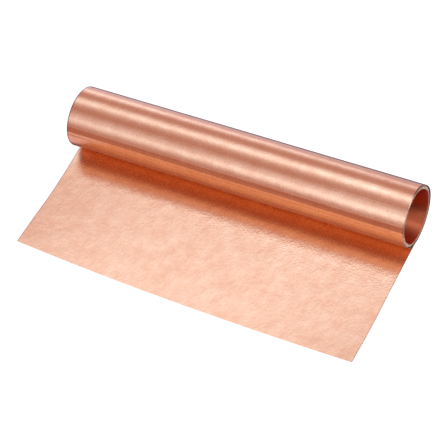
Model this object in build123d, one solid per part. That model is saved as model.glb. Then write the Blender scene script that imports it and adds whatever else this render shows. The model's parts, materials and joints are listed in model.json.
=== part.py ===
from build123d import *
import math
import os

# A roll of thin copper foil: one strip, wound on itself, with its free end pulled out flat.
# The frame's origin is the middle of the bore, +X runs along the bore, +Z is up, and the
# flat tail lies towards -Y. All lengths are in millimetres and all angles in degrees,
# counted anticlockwise in the YZ plane from +Y.

# The strip
STRIP_WIDTH = 200.0
FOIL = 0.10

# The coil: turns that lie loosely on each other, numbered from the bore outwards
BORE_RADIUS = 15.0
COIL_TURNS = 8
TURN_PITCH = 0.20
INNER_END_ANGLE = -55.0
STEP_ANGLE = 30.0
LEAD_IN_ANGLE = -90.0

# The loose turn around the coil, and the room it leaves under the coil
OUTER_TURN_RADIUS = 17.2
CLOSING_END_ANGLE = 262.0
COIL_CLEARANCE = 0.10

# The flat stretches
TAIL_LENGTH = 82.0
BEND_SEGMENTS = 6
BEND_SEGMENT_LENGTH = 4.5
PAYOUT_LENGTH = 50.0
LAYER_GAP = 0.02

# Heights above the table of the layers that meet under the roll, from the bottom up
PAYOUT_BOTTOM = 0.0
TAIL_BOTTOM = PAYOUT_BOTTOM + FOIL + LAYER_GAP
CLOSING_BOTTOM = TAIL_BOTTOM + FOIL + LAYER_GAP
COIL_RADIUS = BORE_RADIUS + COIL_TURNS * TURN_PITCH + FOIL
AXIS_HEIGHT = CLOSING_BOTTOM + FOIL + COIL_CLEARANCE + COIL_RADIUS


def foil(profile):
    """The foil whose cross-section in the YZ plane is the given profile."""
    return extrude(Plane.YZ * profile, amount=STRIP_WIDTH / 2, both=True)


def flat_layer(front, rear, height):
    """Flat foil between two Y positions, with its underside this high above the table."""
    middle = Pos((front + rear) / 2, height + FOIL / 2 - AXIS_HEIGHT)
    return foil(middle * Rectangle(rear - front, FOIL))


def between(inner_edges, outer_edges):
    """The face between the foil's two surfaces, closed across the foil at both ends."""
    start_cap = Line(inner_edges[0] @ 0, outer_edges[0] @ 0)
    end_cap = Line(inner_edges[-1] @ 1, outer_edges[-1] @ 1)
    return make_face([*inner_edges, end_cap, *outer_edges, start_cap])


def outer_turn():
    """One loose turn: a half circle up the back, then a smaller one down the front, so that
    its closing end comes down on top of the tail."""
    rear_centre = (0, OUTER_TURN_RADIUS - AXIS_HEIGHT)
    front_radius = OUTER_TURN_RADIUS - CLOSING_BOTTOM / 2
    front_centre = (0, CLOSING_BOTTOM + front_radius - AXIS_HEIGHT)
    surfaces = []
    for depth in (FOIL, 0):
        up_the_back = CenterArc(rear_centre, OUTER_TURN_RADIUS - depth, -90, 180)
        down_the_front = CenterArc(front_centre, front_radius - depth, 90, CLOSING_END_ANGLE - 90)
        surfaces.append([up_the_back, down_the_front])
    return foil(between(*surfaces))


def polar(radius, angle):
    """A point in the YZ plane, by its distance from the bore's axis and its angle."""
    return Vector(radius * math.cos(math.radians(angle)), radius * math.sin(math.radians(angle)))


def step_in(radius):
    """The short stretch where a surface steps in by one pitch, to this radius. Every turn has
    it at the same place, because each one climbs over the end of the strip inside it."""
    points = []
    for share in (0, 0.25, 0.5, 0.75, 1):
        extra = TURN_PITCH * (1 + math.cos(math.pi * share)) / 2
        points.append(polar(radius + extra, INNER_END_ANGLE + STEP_ANGLE * share))
    ends = (INNER_END_ANGLE, INNER_END_ANGLE + STEP_ANGLE)
    return Spline(*points, tangents=[polar(1, angle + 90) for angle in ends])


def coil_turn(number):
    """One turn of the coil, round for all but its step. The outermost also has the lead-in
    that joins it to the loose turn."""
    surfaces = []
    for depth in (0, FOIL):
        radius = BORE_RADIUS + (number - 1) * TURN_PITCH + depth
        step_end = INNER_END_ANGLE + STEP_ANGLE
        edges = [step_in(radius), CenterArc((0, 0), radius, step_end, 360 - STEP_ANGLE)]
        if number == COIL_TURNS:
            lead_in_sweep = INNER_END_ANGLE - LEAD_IN_ANGLE
            lead_in = CenterArc((0, 0), radius + TURN_PITCH, LEAD_IN_ANGLE, lead_in_sweep)
            edges.insert(0, lead_in)
        surfaces.append(edges)
    return foil(between(*surfaces))


def tail():
    """The flat tail: a panel next to the roll, then the segments of the free end, which bend."""
    rear = 0.0
    panel_front = BEND_SEGMENTS * BEND_SEGMENT_LENGTH - TAIL_LENGTH
    parts = {"tail_panel": flat_layer(panel_front, rear, TAIL_BOTTOM)}
    for number in range(1, BEND_SEGMENTS + 1):
        segment_rear = panel_front - (number - 1) * BEND_SEGMENT_LENGTH
        segment_front = segment_rear - BEND_SEGMENT_LENGTH
        parts[f"free_end_{number}"] = flat_layer(segment_front, segment_rear, TAIL_BOTTOM)
    return parts


nodes = tail()
nodes["payout_strip"] = flat_layer(-PAYOUT_LENGTH, 0.0, PAYOUT_BOTTOM)
nodes["outer_turn"] = outer_turn()
for turn_number in range(1, COIL_TURNS + 1):
    nodes[f"coil_turn_{turn_number}"] = coil_turn(turn_number)

os.makedirs("parts", exist_ok=True)
for name, shape in nodes.items():
    shape.label = name
    export_step(shape, f"parts/{name}.step")

strip_length = sum(shape.volume for shape in nodes.values()) / (STRIP_WIDTH * FOIL)
print(f"bore axis {AXIS_HEIGHT:.2f} mm above the table, strip {strip_length:.0f} mm long")
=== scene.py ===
import json
import math
from collections import namedtuple
from functools import reduce

import bpy
import numpy as np
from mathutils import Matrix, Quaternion, Vector, noise


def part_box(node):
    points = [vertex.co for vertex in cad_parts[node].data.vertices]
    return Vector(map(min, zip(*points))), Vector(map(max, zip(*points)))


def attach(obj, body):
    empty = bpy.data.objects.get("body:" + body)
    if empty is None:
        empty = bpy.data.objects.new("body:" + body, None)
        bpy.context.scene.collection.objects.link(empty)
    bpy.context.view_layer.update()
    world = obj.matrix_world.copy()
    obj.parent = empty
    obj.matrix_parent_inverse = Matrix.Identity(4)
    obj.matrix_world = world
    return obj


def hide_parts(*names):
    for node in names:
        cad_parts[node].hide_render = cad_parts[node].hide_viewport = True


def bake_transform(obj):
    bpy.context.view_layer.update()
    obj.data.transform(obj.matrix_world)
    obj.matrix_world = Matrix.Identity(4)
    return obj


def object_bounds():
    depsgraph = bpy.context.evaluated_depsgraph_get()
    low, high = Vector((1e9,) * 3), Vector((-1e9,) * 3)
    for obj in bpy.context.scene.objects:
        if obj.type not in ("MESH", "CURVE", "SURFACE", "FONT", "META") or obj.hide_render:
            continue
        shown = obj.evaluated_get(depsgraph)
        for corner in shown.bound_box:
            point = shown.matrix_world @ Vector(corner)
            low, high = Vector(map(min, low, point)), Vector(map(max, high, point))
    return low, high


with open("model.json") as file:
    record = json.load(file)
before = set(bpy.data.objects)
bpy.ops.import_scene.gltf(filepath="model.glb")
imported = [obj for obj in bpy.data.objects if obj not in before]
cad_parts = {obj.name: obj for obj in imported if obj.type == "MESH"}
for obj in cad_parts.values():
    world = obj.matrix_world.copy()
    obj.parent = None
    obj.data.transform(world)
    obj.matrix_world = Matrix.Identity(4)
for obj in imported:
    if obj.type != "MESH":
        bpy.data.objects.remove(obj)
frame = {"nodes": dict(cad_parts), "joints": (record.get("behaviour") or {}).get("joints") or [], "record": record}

cad_low, cad_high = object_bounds()
scene = bpy.context.scene

# ---------------------------------------------------------------- sizes, in metres, from the frame

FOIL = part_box("tail_panel")[1].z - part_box("tail_panel")[0].z
TABLE = cad_low.z
HALF_WIDTH = cad_high.x
TAIL_FRONT = -cad_low.y
PANEL_FRONT = -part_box("tail_panel")[0].y
OUTER_RADIUS = (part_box("outer_turn")[1].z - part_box("outer_turn")[0].z) / 2
BEND_JOINTS = [j for j in frame["joints"] if j["name"].startswith("free_end_bend")]
SEGMENT = (TAIL_FRONT - PANEL_FRONT) / len(BEND_JOINTS)
COIL_TURNS = len([node for node in frame["nodes"] if node.startswith("coil_turn")])
BORE = next(m for m in frame["record"]["mounts"] if m["name"] == "bore")
BORE_RADIUS = BORE["dims"]["r_mm"] / 1000
FIRST_TURN_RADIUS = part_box("coil_turn_1")[1].z
TURN_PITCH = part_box("coil_turn_2")[1].z - FIRST_TURN_RADIUS
MIDDLE_RADIUS = OUTER_RADIUS - FOIL / 2

# ---------------------------------------------------------------- how the foil lies, in metres
# Places along the tail are given in y, which falls from 0 under the roll to the free edge. A pair
# of places is where something begins to grow and where it is full.

# The free edge isn't quite parallel to the roll, the tail leans, and its front corners curl up.
EDGE_SKEW = 0.0215
EDGE_BOW = 0.001
EDGE_REACH = 0.0005
TAIL_LEAN = 0.029
LEFT_CURL, RIGHT_CURL = 0.0032, 0.0021
FOIL_REST = 0.00011

# The shape goes on a little past each edge, at 1, so that the slope there can be measured.
PAST_EDGE = 1.05

# In front of the roll the tail lifts off the table, its left edge curls up and it lies further left.
NIP_LIFT = 0.0006
NIP_LIFT_BY_ROLL, NIP_LIFT_BY_TAIL = (-0.001, -0.010), (-0.034, -0.008)
LEFT_EDGE_CURL, LEFT_EDGE_WIDTH = 0.00035, 0.004
LEFT_EDGE_BY_ROLL, LEFT_EDGE_BY_TAIL = (-0.0015, -0.0065), (-0.022, -0.012)
NIP_SHIFT, NIP_SHIFT_GROWS = 0.00015, (0, -0.010)

# The tail's sides wander outwards, and its surface has low waves.
LEFT_NEAR_ROLL, LEFT_SPAN_BY_ROLL = 0.00035, (-0.045, -0.010)
LEFT_NEAR_FRONT, LEFT_SPAN_BY_FRONT = 0.0004, (-0.045, -0.065)
RIGHT_NEAR_FRONT = 0.0003
RIGHT_SPAN_BY_FRONT, RIGHT_SPAN_AT_FRONT = (-0.035, -0.055), (-0.086, -0.066)
LONG_WAVE, SHORT_WAVE = 0.00006, 0.00002
WAVES_GROW = (-0.004, -0.034)

# The roll isn't wound level: its left end stands out most at the front and its right end least.
LEFT_END_OUT, LEFT_END_VARIES, LEFT_END_LOW = 0.00035, 0.9, math.radians(20)
RIGHT_END_OUT, RIGHT_END_IN = 0.0001, 0.0013
RIGHT_END_MIDDLE, RIGHT_END_SPREAD = math.radians(115), math.radians(80)

# The loose turn: a half circle up the back, a tighter one down the front, dents and creases.
CLOSING_DROP = 0.00024
JOIN_LENGTH, JOIN_RISE, JOIN_RISE_LENGTH = 0.02, 0.00005, 0.01
CLOSING_LENGTH = 0.012
DENT, SMALL_DENT, TINY_DENT = 0.00005, 0.000017, 0.000005
SMALL_DENT_DRAWN, TINY_DENT_DRAWN = 0.35, 0.3
EDGE_LIP_WIDTH, EDGE_LIP_DEPTH, EDGE_LIP_GROWS = 0.0005, 0.00012, 0.004

# Each crease runs along the roll at an angle round it, in degrees from the horizon behind, and
# stands out by a share of CREASE_DEPTH, or dips if the share is negative.
CREASES = (
    (149, 0.8), (153.5, -1.0), (158, 1.0), (164, -0.9), (169, 0.8),
    (56, 0.4), (86, 0.15), (114, 0.5),
)
CREASE_DEPTH, CREASE_WIDTH = 0.00006, 0.00055
CREASE_WANDER = 1.5

# The coil's turns: where each climbs over the one inside it, and how its ends and edges lie.
STEP_START, STEP_END = math.radians(-55), math.radians(-25)
COIL_UNEVEN = 0.00002
LAST_TURN_LEAD_IN = math.radians(35)
END_RECESS, OUTER_TURNS_RECESS = 0.0003, 0.0005
RECESS_VARIES, RECESS_PHASE = 0.00008, 2.4
BURR, BURR_WIDTH = 0.00007, 0.0005


def smooth(value):
    """Eases from 0 at 0 to 1 at 1."""
    t = np.clip(value, 0, 1)
    return t * t * (3 - 2 * t)


def growing(value, span):
    """Eases from 0 at the first end of a span to 1 at its second."""
    return smooth((value - span[0]) / (span[1] - span[0]))


def ripple(x, s, size, seed):
    """Smooth unevenness between -1 and 1 over the foil, in bumps of about this size."""
    flat = [
        noise.noise((a / size, b / size, seed)) for a, b in zip(np.ravel(x), np.ravel(s))
    ]
    return np.reshape(flat, np.shape(x))


# ---------------------------------------------------------------- meshes

NORMAL_STEP = 2e-5
SHARP_ANGLE = math.radians(40)
FACE_SLOT, CUT_SLOT = 0, 1


def even_thickness(x):
    return np.full(x.shape, FOIL)


def shell_points(middle, x, s, thickness):
    """Both faces of a stretch of foil: its middle surface moved out by half its thickness."""
    centre = middle(x, s)
    across = middle(x + NORMAL_STEP, s) - middle(x - NORMAL_STEP, s)
    along = middle(x, s + NORMAL_STEP) - middle(x, s - NORMAL_STEP)
    normal = np.cross(across, along)
    normal /= np.linalg.norm(normal, axis=-1, keepdims=True)
    half = thickness(x)[..., None] / 2
    upper = (centre + normal * half).reshape(-1, 3)
    lower = (centre - normal * half).reshape(-1, 3)
    return np.concatenate([upper, lower])


def shell_faces(rows, columns, cut_start, cut_end):
    """The faces of a closed shell over a grid of points, and the material slot of each."""
    index = np.arange(rows * columns).reshape(rows, columns)
    under = index + rows * columns

    def quads(a, b, c, d):
        return np.stack([a.ravel(), b.ravel(), c.ravel(), d.ravel()], axis=1)

    sides = [
        (quads(index[:-1, :-1], index[1:, :-1], index[1:, 1:], index[:-1, 1:]), False),
        (quads(under[:-1, :-1], under[:-1, 1:], under[1:, 1:], under[1:, :-1]), False),
        (quads(index[0, :-1], index[0, 1:], under[0, 1:], under[0, :-1]), True),
        (quads(index[-1, 1:], index[-1, :-1], under[-1, :-1], under[-1, 1:]), True),
        (quads(index[1:, 0], index[:-1, 0], under[:-1, 0], under[1:, 0]), cut_start),
        (quads(index[:-1, -1], index[1:, -1], under[1:, -1], under[:-1, -1]), cut_end),
    ]
    slots = [np.full(len(faces), CUT_SLOT if is_cut else FACE_SLOT) for faces, is_cut in sides]
    return np.concatenate([faces for faces, is_cut in sides]), np.concatenate(slots)


def lay_foil(name, middle, xs, lengths, materials, thickness=even_thickness,
             cut_start=False, cut_end=False):
    """A stretch of foil as a closed shell. middle(x, s) gives the middle of its thickness, where
    x is the place across the strip and s the place along it; xs and lengths are the grid."""
    x = np.broadcast_to(np.asarray(xs)[:, None], (len(xs), lengths.shape[-1])).astype(float)
    s = np.broadcast_to(lengths, x.shape).astype(float)
    points = shell_points(middle, x, s, thickness)
    faces, slots = shell_faces(*x.shape, cut_start, cut_end)
    mesh = bpy.data.meshes.new(name)
    mesh.from_pydata(points.tolist(), [], faces.tolist())
    uv = mesh.uv_layers.new(name="strip")
    place = np.concatenate([np.stack([x.ravel(), s.ravel()], 1)] * 2)
    uv.data.foreach_set("uv", place[faces.ravel()].astype(np.float32).ravel())
    for material in materials:
        mesh.materials.append(material)
    mesh.polygons.foreach_set("material_index", slots.astype(np.int32))
    mesh.shade_smooth()
    mesh.set_sharp_from_angle(angle=SHARP_ANGLE)
    mesh.update()
    piece = bpy.data.objects.new(name, mesh)
    scene.collection.objects.link(piece)
    return piece


# ---------------------------------------------------------------- how the strip runs


def front_edge(x):
    """Y of the free edge at this place across the strip."""
    return -(TAIL_FRONT + EDGE_REACH + EDGE_SKEW * x - EDGE_BOW * (x / HALF_WIDTH) ** 2)


def tail_sides(x, y):
    """How far the tail's side edges wander outwards from straight."""
    left = LEFT_NEAR_ROLL * growing(y, LEFT_SPAN_BY_ROLL)
    left = left + LEFT_NEAR_FRONT * growing(y, LEFT_SPAN_BY_FRONT)
    right = RIGHT_NEAR_FRONT * growing(y, RIGHT_SPAN_BY_FRONT) * growing(y, RIGHT_SPAN_AT_FRONT)
    return right * smooth(x / HALF_WIDTH) - left * smooth(-x / HALF_WIDTH)


def roll_ends(x, angle):
    """How far the roll's ends stand out at this angle round it."""
    low_side = 1 - LEFT_END_VARIES * np.cos(angle - LEFT_END_LOW)
    front_side = smooth((RIGHT_END_MIDDLE - np.abs(angle - RIGHT_END_MIDDLE)) / RIGHT_END_SPREAD)
    right = RIGHT_END_OUT - RIGHT_END_IN * front_side
    return right * smooth(x / HALF_WIDTH) - LEFT_END_OUT * low_side * smooth(-x / HALF_WIDTH)


def tail_middle(x, y):
    """The tail: flat on the table, slightly askew, bowed up near the roll and at its front corners."""
    side = x / HALF_WIDTH
    reach = np.clip(y / front_edge(x), 0, PAST_EDGE)
    corners = np.where(side < 0, LEFT_CURL, RIGHT_CURL) * side**2 * reach**2
    nip = NIP_LIFT * growing(y, NIP_LIFT_BY_ROLL) * growing(y, NIP_LIFT_BY_TAIL)
    to_left_edge = (-x - HALF_WIDTH + LEFT_EDGE_WIDTH) / LEFT_EDGE_WIDTH
    left_edge = LEFT_EDGE_CURL * np.clip(to_left_edge, 0, PAST_EDGE) ** 2
    left_edge = left_edge * growing(y, LEFT_EDGE_BY_ROLL) * growing(y, LEFT_EDGE_BY_TAIL)
    long_waves = LONG_WAVE * (1 + ripple(x, y, size=0.050, seed=3.1))
    short_waves = SHORT_WAVE * (1 + ripple(x, y, size=0.018, seed=8.4))
    lift = corners + nip + left_edge + (long_waves + short_waves) * growing(y, WAVES_GROW)
    slip = TAIL_LEAN * y - NIP_SHIFT * growing(y, NIP_SHIFT_GROWS)
    return np.stack([x + slip + tail_sides(x, y), y, TABLE + FOIL_REST + lift], axis=-1)


def dents(x, s):
    """Shallow dents of three sizes, the smaller ones drawn out along the roll."""
    large = DENT * ripple(x, s, size=0.030, seed=5.5)
    small = SMALL_DENT * ripple(x * SMALL_DENT_DRAWN, s, size=0.007, seed=2.2)
    tiny = TINY_DENT * ripple(x * TINY_DENT_DRAWN, s, size=0.0028, seed=6.1)
    return large + small + tiny


def creases(x, angle):
    """Creases along the roll, each wandering a little and fading in places."""
    level = np.zeros_like(x)
    height = np.zeros_like(x)
    for degrees, share in CREASES:
        wander = CREASE_WANDER * ripple(x, level, size=0.07, seed=degrees)
        away = (angle - np.radians(degrees + wander)) * MIDDLE_RADIUS
        strength = share * (1 + ripple(x, level, size=0.05, seed=2 * degrees))
        height = height + CREASE_DEPTH * strength * np.exp(-((away / CREASE_WIDTH) ** 2))
    return height


def outer_turn_middle(x, s):
    """The loose turn: a half circle up the back of the roll, then a tighter one down its front."""
    front_radius = MIDDLE_RADIUS - CLOSING_DROP / 2
    half_turn = math.pi * MIDDLE_RADIUS
    at_front = s > half_turn
    front_angle = math.pi / 2 + (s - half_turn) / front_radius
    angle = np.where(at_front, front_angle, s / MIDDLE_RADIUS - math.pi / 2)
    radius = np.where(at_front, front_radius, MIDDLE_RADIUS)
    centre_height = TABLE + OUTER_RADIUS + np.where(at_front, CLOSING_DROP / 2, 0)
    inside_ends = smooth(s / JOIN_LENGTH) * smooth((2.0 * half_turn - s) / CLOSING_LENGTH)
    edge_lip = EDGE_LIP_DEPTH * smooth((np.abs(x) - HALF_WIDTH) / EDGE_LIP_WIDTH + 1)
    edge_lip = edge_lip * smooth(s / EDGE_LIP_GROWS)
    radius = radius + dents(x, s) * inside_ends + creases(x, angle) - edge_lip
    joined = smooth(s / JOIN_LENGTH)
    sideways = roll_ends(x, angle) * joined + tail_sides(x, 0 * s) * (1 - joined)
    lift = JOIN_RISE * (1 - smooth(s / JOIN_RISE_LENGTH))
    height = centre_height + radius * np.sin(angle) + lift
    return np.stack([x + sideways, radius * np.cos(angle), height], axis=-1)


def strip_middle(x, s):
    """The strip's middle, from its free end (s < 0) through the loose turn (s > 0)."""
    on_tail = (s <= 0)[..., None]
    return np.where(on_tail, tail_middle(x, np.minimum(s, 0)), outer_turn_middle(x, np.maximum(s, 0)))


def coil_turn_middle(number):
    """The middle of one turn of the coil: round, but for the step that climbs over the turn inside."""
    base = BORE_RADIUS + (number - 1) * TURN_PITCH + FOIL / 2

    def middle(x, s):
        angle = STEP_START + s / BORE_RADIUS
        share = np.clip((angle - STEP_START) / (STEP_END - STEP_START), 0, 1)
        radius = base + TURN_PITCH * (1 + np.cos(math.pi * share)) / 2
        radius = radius + COIL_UNEVEN * ripple(x, s, size=0.024, seed=7.7)
        turned = (angle + math.pi / 2) % math.tau - math.pi / 2
        places = [x + roll_ends(x, turned), radius * np.cos(angle), radius * np.sin(angle)]
        return np.stack(places, axis=-1)

    return middle


# ---------------------------------------------------------------- shader nodes


def new_material(name):
    material = bpy.data.materials.new(name)
    material.use_nodes = True
    tree = material.node_tree
    return material, tree, tree.nodes["Principled BSDF"]


def add(tree, kind, **settings):
    """A new node, with each setting put on its socket of that name, or else on the node."""
    node = tree.nodes.new(kind)
    for key, value in settings.items():
        if key in node.inputs:
            node.inputs[key].default_value = value
        else:
            setattr(node, key, value)
    return node


def math_node(tree, operation, a, b=0.0):
    node = add(tree, "ShaderNodeMath", operation=operation)
    for socket, value in zip(node.inputs, (a, b)):
        if isinstance(value, (int, float)):
            socket.default_value = value
        else:
            tree.links.new(value, socket)
    return node.outputs[0]


def product(tree, *values):
    return reduce(lambda a, b: math_node(tree, "MULTIPLY", a, b), values)


def total(tree, *values):
    return reduce(lambda a, b: math_node(tree, "ADD", a, b), values)


def weighted(tree, *shares):
    """The sum of values, each given with its weight."""
    return total(tree, *(product(tree, *share) for share in shares))


def ranged(tree, value, span, result, easing="LINEAR"):
    """Takes a value from one end of a span to the other into the two ends of the result."""
    node = add(tree, "ShaderNodeMapRange", interpolation_type=easing)
    for name, number in zip(("From Min", "From Max", "To Min", "To Max"), (*span, *result)):
        node.inputs[name].default_value = number
    tree.links.new(value, node.inputs["Value"])
    return node.outputs["Result"]


def eased(tree, value, span, result=(0, 1)):
    return ranged(tree, value, span, result, easing="SMOOTHSTEP")


def ramp(tree, value, low, high):
    """A colour that runs between two, each given with the value it stands at."""
    node = add(tree, "ShaderNodeValToRGB")
    for element, (position, colour) in zip(node.color_ramp.elements, (low, high)):
        element.position = position
        element.color = (*colour, 1)
    tree.links.new(value, node.inputs["Fac"])
    return node.outputs["Color"]


def vector_scaled(tree, vector, scale):
    """A vector or colour, fixed or from another node, times a value."""
    node = add(tree, "ShaderNodeVectorMath", operation="SCALE")
    if isinstance(vector, Vector):
        node.inputs["Vector"].default_value = vector
    else:
        tree.links.new(vector, node.inputs["Vector"])
    tree.links.new(scale, node.inputs["Scale"])
    return node.outputs["Vector"]


def vector_sum(tree, vectors):
    def added(first, second):
        node = add(tree, "ShaderNodeVectorMath", operation="ADD")
        tree.links.new(first, node.inputs[0])
        tree.links.new(second, node.inputs[1])
        return node.outputs["Vector"]

    return reduce(added, vectors)


# ---------------------------------------------------------------- materials
# Every pattern is laid on the UV map "strip", which is in metres: x across it and y along it.

# The crinkles fade between two distances from the middle of their stretch of the strip.
CRINKLES_MIDDLE, CRINKLES_FADE = -0.034, (0.0042, 0.014)
CRINKLES_ACROSS = (-0.6 * HALF_WIDTH, 0.2 * HALF_WIDTH)
CRINKLE_SCALE, CRINKLE_RIDGE = 650.0, (0.0, 0.25)

# Painted shade along the slit edges grows between two distances from the edge. On the roll it is darkest on top.
EDGE_SHADE_BAND, EDGE_SHADE_DARKENS = (0.0008, 0.00024), 0.9
EDGE_SHADE_RISES, EDGE_SHADE_FALLS = (0.018, 0.030), (0.047, 0.056)
EDGE_SHADE_LEFT_ACROSS, EDGE_SHADE_LEFT_ALONG = (-0.05, 0.0), (-0.04, 0.005)

TONE_SPAN, BURR_SPAN = (0.3, 0.7), (0.3, 0.7)
BUMP_DEPTH = 0.0001


def strip_map(tree):
    return add(tree, "ShaderNodeUVMap", uv_map="strip").outputs["UV"]


def strip_place(tree):
    """The place across the strip and the place along it."""
    place = add(tree, "ShaderNodeSeparateXYZ")
    tree.links.new(strip_map(tree), place.inputs["Vector"])
    return place.outputs["X"], place.outputs["Y"]


def noise_on(tree, scale, along, detail, roughness):
    """Noise laid on the strip. Along below 1 draws it out along the strip."""
    scaled = add(tree, "ShaderNodeMapping", Scale=(1, along, 1))
    made = add(tree, "ShaderNodeTexNoise", Scale=scale, Detail=detail, Roughness=roughness)
    tree.links.new(strip_map(tree), scaled.inputs["Vector"])
    tree.links.new(scaled.outputs["Vector"], made.inputs["Vector"])
    return made.outputs["Fac"]


def crinkles(tree):
    """Extra fine creasing where the tail has just left the roll."""
    across, along = strip_place(tree)
    away = math_node(tree, "ABSOLUTE", math_node(tree, "SUBTRACT", along, CRINKLES_MIDDLE))
    amount = ranged(tree, away, CRINKLES_FADE, (1.0, 0.0))
    towards_right = ranged(tree, across, CRINKLES_ACROSS, (0.2, 1.0))
    cells = add(tree, "ShaderNodeTexVoronoi", Scale=CRINKLE_SCALE, feature="DISTANCE_TO_EDGE")
    tree.links.new(strip_map(tree), cells.inputs["Vector"])
    ridges = ranged(tree, cells.outputs["Distance"], CRINKLE_RIDGE, (1.0, 0.0))
    return product(tree, ridges, amount, towards_right)


def painted_edge_shade(tree):
    """How much painted shade darkens the slit edges: most along the roll's left end and on top at its right."""
    across, along = strip_place(tree)
    edge_band = [HALF_WIDTH - distance for distance in EDGE_SHADE_BAND]
    at_edge = ranged(tree, math_node(tree, "ABSOLUTE", across), edge_band, (0.0, 1.0))
    on_top = product(tree, ranged(tree, along, EDGE_SHADE_RISES, (0.3, 1.0)),
                     ranged(tree, along, EDGE_SHADE_FALLS, (1.0, 0.25)))
    at_left = product(tree, ranged(tree, across, EDGE_SHADE_LEFT_ACROSS, (1.0, 0.0)),
                      ranged(tree, along, EDGE_SHADE_LEFT_ALONG, (0.3, 0.75)))
    return product(tree, at_edge, math_node(tree, "MAXIMUM", on_top, at_left))


def copper(name, dark, light, dullness, brushing):
    """Bare rolled copper: fine grain along the strip, soft mottling and slight unevenness, with painted shade
    darkening the base colour along the slit edges.
    """
    material, tree, shader = new_material(name)
    blotches = noise_on(tree, scale=30, along=0.9, detail=3, roughness=0.5)
    mottle = noise_on(tree, scale=150, along=0.8, detail=5, roughness=0.65)
    flecks = noise_on(tree, scale=700, along=0.8, detail=3, roughness=0.6)
    grain = noise_on(tree, scale=1300, along=0.12, detail=3, roughness=0.6)
    tone = weighted(tree, (blotches, 0.22), (mottle, 0.58), (flecks, 0.20))
    colour = ramp(tree, tone, (0.34, dark), (0.66, light))
    # Painted shade: the base colour is darkened near the slit edges, where the edges lie in shade.
    unshaded = math_node(tree, "SUBTRACT", 1.0, product(tree, painted_edge_shade(tree), EDGE_SHADE_DARKENS))
    tree.links.new(vector_scaled(tree, colour, unshaded), shader.inputs["Base Color"])
    shader.inputs["Metallic"].default_value = 1.0
    shader.inputs["Anisotropic"].default_value = brushing
    tangent = add(tree, "ShaderNodeTangent", direction_type="UV_MAP", uv_map="strip")
    tree.links.new(tangent.outputs["Tangent"], shader.inputs["Tangent"])
    roughness = ranged(tree, tone, TONE_SPAN, (dullness + 0.03, dullness - 0.03))
    tree.links.new(roughness, shader.inputs["Roughness"])
    height = weighted(tree, (mottle, 1.0), (flecks, 0.2), (grain, 0.12), (crinkles(tree), 0.16))
    bump = add(tree, "ShaderNodeBump", Strength=1.0, Distance=BUMP_DEPTH)
    tree.links.new(height, bump.inputs["Height"])
    tree.links.new(bump.outputs["Normal"], shader.inputs["Normal"])
    return material


def cut_edge():
    """The strip's slit edge: paler and duller than its faces, with a fine burr."""
    material, tree, shader = new_material("cut_edge")
    burr = noise_on(tree, scale=900, along=1, detail=3, roughness=0.6)
    colour = ramp(tree, burr, (0.3, (0.82, 0.43, 0.27)), (0.7, (0.95, 0.60, 0.41)))
    tree.links.new(colour, shader.inputs["Base Color"])
    tree.links.new(ranged(tree, burr, BURR_SPAN, (0.45, 0.6)), shader.inputs["Roughness"])
    shader.inputs["Metallic"].default_value = 0.4
    return material


FOIL_SKIN = copper("copper_foil", dark=(0.735, 0.315, 0.15), light=(0.82, 0.42, 0.22),
                   dullness=0.27, brushing=0.7)
# The bore's copper is a darker, redder copy of the foil's copper: painted shade for the light lost in bounces
# inside the bore.
SHADED_BORE_COPPER = copper("copper_bore", dark=(0.77, 0.125, 0.042), light=(0.88, 0.185, 0.062),
                   dullness=0.48, brushing=0.85)
CUT_EDGE = cut_edge()

# ---------------------------------------------------------------- the object's pieces

ACROSS_STEP = 0.002
ROWS_ON_TAIL, ROWS_ON_TURN, ROWS_ON_COIL = 54, 260, 200
ROWS_ON_SEGMENT, ROWS_ON_LAST_SEGMENT = 6, 8
TURN_SHARE = 0.975

# Distances from the edges at which the grid has more columns, so that the edges can be shaped.
EDGE_PLACES = np.array([0.00015, 0.0003, 0.00045, 0.0006, 0.0008])
COIL_EDGE_PLACES = np.array([0, 0.0002, 0.0006])
COIL_MIDDLE_INSET = 0.002
COLUMNS_IN_BORE, COLUMNS_IN_TURN = 60, 3


def across_strip():
    """Places across the whole strip, about ACROSS_STEP apart."""
    return np.linspace(-HALF_WIDTH, HALF_WIDTH, round(2 * HALF_WIDTH / ACROSS_STEP) + 1)


def make_tail_and_outer_turn():
    """The strip from the tail's first bend, under the roll and once round it."""
    first_row = -(PANEL_FRONT - SEGMENT / 2)
    turn_length = math.pi * 2 * MIDDLE_RADIUS
    on_tail = np.linspace(first_row, 0, ROWS_ON_TAIL)
    on_turn = np.linspace(0, turn_length * TURN_SHARE, ROWS_ON_TURN)[1:]
    near_edges = HALF_WIDTH - EDGE_PLACES
    xs = np.sort(np.concatenate([across_strip(), near_edges, -near_edges]))
    piece = lay_foil("foil_tail_and_outer_turn", strip_middle, xs,
                     np.concatenate([on_tail, on_turn]), [FOIL_SKIN, CUT_EDGE], cut_end=True)
    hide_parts("tail_panel", "payout_strip", "outer_turn")
    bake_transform(piece)


def make_free_end():
    """The free end: one piece to each bend, from the middle of a segment to the middle of the next."""
    xs = across_strip()
    for number, joint in enumerate(BEND_JOINTS, start=1):
        hinge = joint["pos_m"][1]
        rear, front = hinge + SEGMENT / 2, hinge - SEGMENT / 2
        is_last = number == len(BEND_JOINTS)
        front_row = front_edge(xs) if is_last else np.full_like(xs, front)
        share = np.linspace(0, 1, ROWS_ON_LAST_SEGMENT if is_last else ROWS_ON_SEGMENT)
        rows = front_row[:, None] + (rear - front_row[:, None]) * share[None, :]
        piece = lay_foil(f"foil_free_end_{number}", tail_middle, xs, rows, [FOIL_SKIN, CUT_EDGE],
                         cut_start=is_last)
        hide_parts(joint["child"])
        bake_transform(piece)


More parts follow.
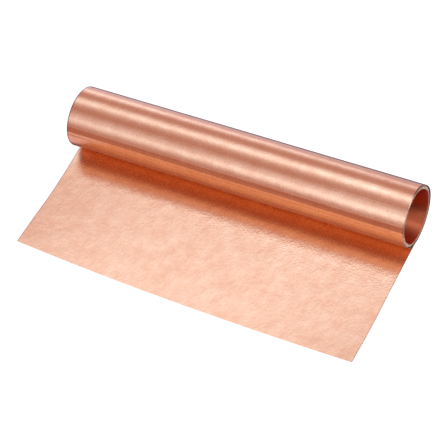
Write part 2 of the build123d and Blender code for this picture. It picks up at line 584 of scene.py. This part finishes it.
def make_coil_turn(number):
    """One turn of the coil, its cut edges a little thicker than the foil."""
    is_inner, is_last = number == 1, number == COIL_TURNS
    recess = END_RECESS + OUTER_TURNS_RECESS * smooth((number - COIL_TURNS + 2) / 2)
    half = HALF_WIDTH - recess - RECESS_VARIES * math.sin(number * RECESS_PHASE)
    inset = half - COIL_MIDDLE_INSET
    middle_places = np.linspace(-inset, inset, COLUMNS_IN_BORE if is_inner else COLUMNS_IN_TURN)
    right_places = half - COIL_EDGE_PLACES[::-1]
    xs = np.concatenate([-half + COIL_EDGE_PLACES, middle_places, right_places])
    lead_in = LAST_TURN_LEAD_IN if is_last else 0
    lengths = np.linspace(-lead_in, math.tau, ROWS_ON_COIL) * BORE_RADIUS

    def burred(x):
        return FOIL + BURR * (1 - smooth((half - np.abs(x)) / BURR_WIDTH))

    # The innermost turn, which lines the bore, gets the copper with painted shade.
    piece = lay_foil(f"foil_coil_turn_{number}", coil_turn_middle(number), xs, lengths,
                     [SHADED_BORE_COPPER if is_inner else FOIL_SKIN, CUT_EDGE], thickness=burred,
                     cut_start=is_last, cut_end=is_inner)
    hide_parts(f"coil_turn_{number}")
    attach(piece, "coil")


def make_coil():
    for number in range(1, COIL_TURNS + 1):
        make_coil_turn(number)


# ---------------------------------------------------------------- floor

FLOOR_REACH = 60.0
FLOOR_GREY, FLOOR_GLOW = 0.15, 0.95
FLOOR_LIGHT_SIZE, FLOOR_LIGHT_POWER, FLOOR_LIGHT_PLACE = 3.0, 10, (0, -0.3, 1.8)


def make_floor():
    """A plain pale floor, wide enough to fill every view, that isn't seen in the metal."""
    corners = [(x, y, TABLE) for x, y in ((-FLOOR_REACH, -FLOOR_REACH), (FLOOR_REACH, -FLOOR_REACH),
                                          (FLOOR_REACH, FLOOR_REACH), (-FLOOR_REACH, FLOOR_REACH))]
    mesh = bpy.data.meshes.new("floor")
    mesh.from_pydata(corners, [], [(0, 1, 2, 3)])
    material, tree, shader = new_material("floor")
    shader.inputs["Base Color"].default_value = (FLOOR_GREY, FLOOR_GREY, FLOOR_GREY, 1)
    shader.inputs["Roughness"].default_value = 0.9
    shader.inputs["Specular IOR Level"].default_value = 0.0
    shader.inputs["Emission Color"].default_value = (1, 1, 1, 1)
    shader.inputs["Emission Strength"].default_value = FLOOR_GLOW
    mesh.materials.append(material)
    floor = bpy.data.objects.new("floor", mesh)
    scene.collection.objects.link(floor)
    floor.visible_glossy = False


def make_floor_light():
    """A broad soft light overhead that whitens the floor and isn't seen in the metal."""
    light = bpy.data.lights.new("overhead", "AREA")
    light.shape = "DISK"
    light.size = FLOOR_LIGHT_SIZE
    light.energy = FLOOR_LIGHT_POWER
    overhead = bpy.data.objects.new("overhead", light)
    overhead.location = FLOOR_LIGHT_PLACE
    overhead.visible_glossy = False
    scene.collection.objects.link(overhead)


# ---------------------------------------------------------------- studio
# The soft lights run parallel to the roll. Each is given by its angle round the roll, in degrees
# from the horizon behind it, its width, its strength, and how fast it brightens to the right.
# The other spans are parts of a direction: how far it points right, up or back, from -1 to 1.

StripLight = namedtuple("StripLight", "angle width strength slope")
STUDIO_LIGHTS = {
    "rim": StripLight(-20, 10, 0.62, -2.0),
    "low_back": StripLight(9, 13.5, 1.35, -3.0),
    "high_back": StripLight(69, 17.5, 1.55, 2.2),
    "low_front": StripLight(144, 20, 1.38, 2.8),
    "low_front_edge": StripLight(123, 8, 0.35, 2.0),
}
SIDE_LIGHTS = {
    "upright": StripLight(86, 9, 8.0, 0.0),
    "leaning": StripLight(120, 15, 1.5, 0.0),
}
LIGHT_COLOUR = Vector((0.68, 1.27, 2.04))
ROOM_COLOUR = Vector((0.555, 0.285, 0.265))
TABLE_COLOUR = Vector((0.78, 0.76, 1.05))
END_COLOUR = Vector((1.9, 1.9, 2.2))
FADE_POWER = -2
SLOPE_MIDDLE, SLOPE_LOWEST, SLOPE_HIGHEST = -0.34, 0.1, 1.8
ROOM_LEFT, ROOM_RIGHT, ROOM_BELOW = 0.5, 0.17, 0.4
CENTRE_FROM_LEFT, CENTRE_TO_RIGHT = (-0.75, -0.55), (0.0, 0.4)
SIDE_FROM, SIDE_TO = (0.1, 0.6), (0.75, 0.92)
END_TO_RIGHT, END_UPWARDS = (0.45, 0.8), (0.2, 0.45)
TABLE_DEPTH, TABLE_FORWARDS = (-0.45, -0.25), (-0.1, -0.4)


def strip_light(tree, angle, right, light):
    """One long soft light: bright along its middle line, fading to both sides."""
    away = math_node(tree, "SUBTRACT", angle, math.radians(light.angle))
    away = math_node(tree, "DIVIDE", away, math.radians(light.width))
    fade = math_node(tree, "POWER", total(tree, product(tree, away, away), 1), FADE_POWER)
    offset = math_node(tree, "SUBTRACT", right, SLOPE_MIDDLE)
    tilt = total(tree, product(tree, offset, light.slope), 1)
    tilt = math_node(tree, "MINIMUM", math_node(tree, "MAXIMUM", tilt, SLOPE_LOWEST), SLOPE_HIGHEST)
    return product(tree, fade, tilt, light.strength)


def light_sum(tree, angle, right, lights):
    return total(tree, *(strip_light(tree, angle, right, light) for light in lights.values()))


def make_world():
    """The studio around the roll: long soft lights, a warm dark room, and a pale table below."""
    world = bpy.data.worlds.new("studio")
    scene.world = world
    world.use_nodes = True
    tree = world.node_tree
    direction = add(tree, "ShaderNodeSeparateXYZ")
    tree.links.new(add(tree, "ShaderNodeTexCoord").outputs["Generated"], direction.inputs["Vector"])
    right, back, up = (direction.outputs[name] for name in "XYZ")
    angle = math_node(tree, "ARCTAN2", up, back)
    centre = product(tree, eased(tree, right, CENTRE_FROM_LEFT, (ROOM_LEFT, 1)),
                     eased(tree, right, CENTRE_TO_RIGHT, (1, ROOM_RIGHT)))
    at_right = product(tree, eased(tree, right, SIDE_FROM), eased(tree, right, SIDE_TO, (1, 0)))
    main_lights = product(tree, light_sum(tree, angle, right, STUDIO_LIGHTS), centre)
    side_lights = product(tree, light_sum(tree, angle, right, SIDE_LIGHTS), at_right)
    above = eased(tree, up, TABLE_DEPTH)
    below = math_node(tree, "SUBTRACT", 1.0, above)
    table = product(tree, below, eased(tree, back, TABLE_FORWARDS), centre)
    room = product(tree, weighted(tree, (above, 1.0), (below, ROOM_BELOW)), centre)
    end_light = product(tree, eased(tree, right, END_TO_RIGHT), eased(tree, up, END_UPWARDS))
    shares = [
        (LIGHT_COLOUR, total(tree, main_lights, side_lights)),
        (ROOM_COLOUR, room),
        (TABLE_COLOUR, table),
        (END_COLOUR, end_light),
    ]
    colour = vector_sum(tree, [vector_scaled(tree, *share) for share in shares])
    tree.links.new(colour, tree.nodes["Background"].inputs["Color"])


# ---------------------------------------------------------------- camera

AZIMUTH, ELEVATION, TILT = math.radians(38.48), math.radians(55.04), math.radians(-15.54)
DISTANCE = 0.9703
SENSOR_MM, LENS_MM = 36, 146.54
AIM_OFFSET = Vector((0.0016, -0.0004, -0.0101))


def make_camera():
    """The photo's viewing angle, with the camera tilted as it was held."""
    data = bpy.data.cameras.new("camera")
    data.sensor_width = SENSOR_MM
    data.lens = LENS_MM
    camera = bpy.data.objects.new("camera", data)
    scene.collection.objects.link(camera)
    aim = (cad_low + cad_high) / 2 + AIM_OFFSET
    level = math.cos(ELEVATION)
    back = Vector((math.sin(AZIMUTH) * level, -math.cos(AZIMUTH) * level, math.sin(ELEVATION)))
    camera.location = aim + back * DISTANCE
    camera.rotation_mode = "QUATERNION"
    camera.rotation_quaternion = (-back).to_track_quat("-Z", "Y") @ Quaternion((0, 0, 1), TILT)
    scene.camera = camera


scene.view_settings.view_transform = "Standard"
make_camera()
make_world()
make_floor_light()
make_floor()
make_tail_and_outer_turn()
make_free_end()
make_coil()
